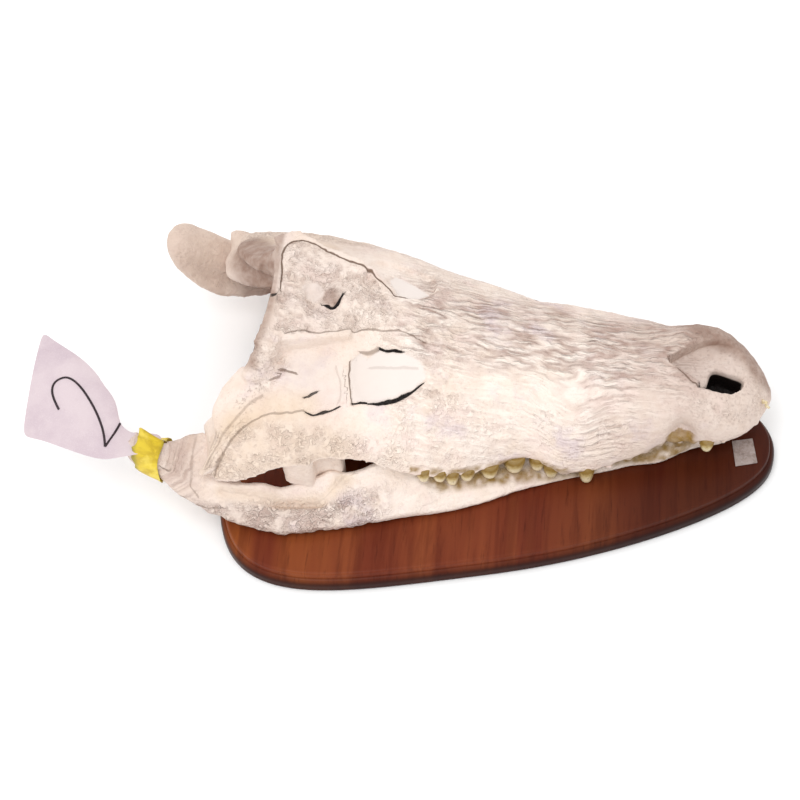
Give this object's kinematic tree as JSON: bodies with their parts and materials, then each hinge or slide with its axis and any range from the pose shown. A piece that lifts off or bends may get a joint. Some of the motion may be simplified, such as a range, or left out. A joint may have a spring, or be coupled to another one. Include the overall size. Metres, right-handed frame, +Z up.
{
  "type": "mounted crocodile skull",
  "caption": "Crocodile skull with its lower jaw closed, on a moulded wooden board, with a paper tag taped to the right side of the jaw.",
  "frame": {"origin": "middle of the board's underside", "axes": "+X along the skull towards the tip of the snout, +Y to the skull's left, +Z up"},
  "size_m": [0.6793, 0.3941, 0.182],
  "materials": {
    "cranial_bone": "matte, dry bone",
    "jaw_bone": "matte, dry bone",
    "board_wood": "polished",
    "label_card": "matte card",
    "tag_paper": "matte paper",
    "tag_tape": "satin"
  },
  "bodies": {
    "root": {"snout": "cranial_bone", "brow": "cranial_bone", "skull_table": "cranial_bone", "cheek_left": "cranial_bone", "cheek_right": "cranial_bone", "quadrate_left": "cranial_bone", "quadrate_right": "cranial_bone", "braincase": "cranial_bone", "palate": "cranial_bone", "lower_jaw_left": "jaw_bone", "lower_jaw_right": "jaw_bone", "board": "board_wood", "board_label": "label_card", "paper_tag": "tag_paper", "tag_tape": "tag_tape"}
  },
  "joints": []
}
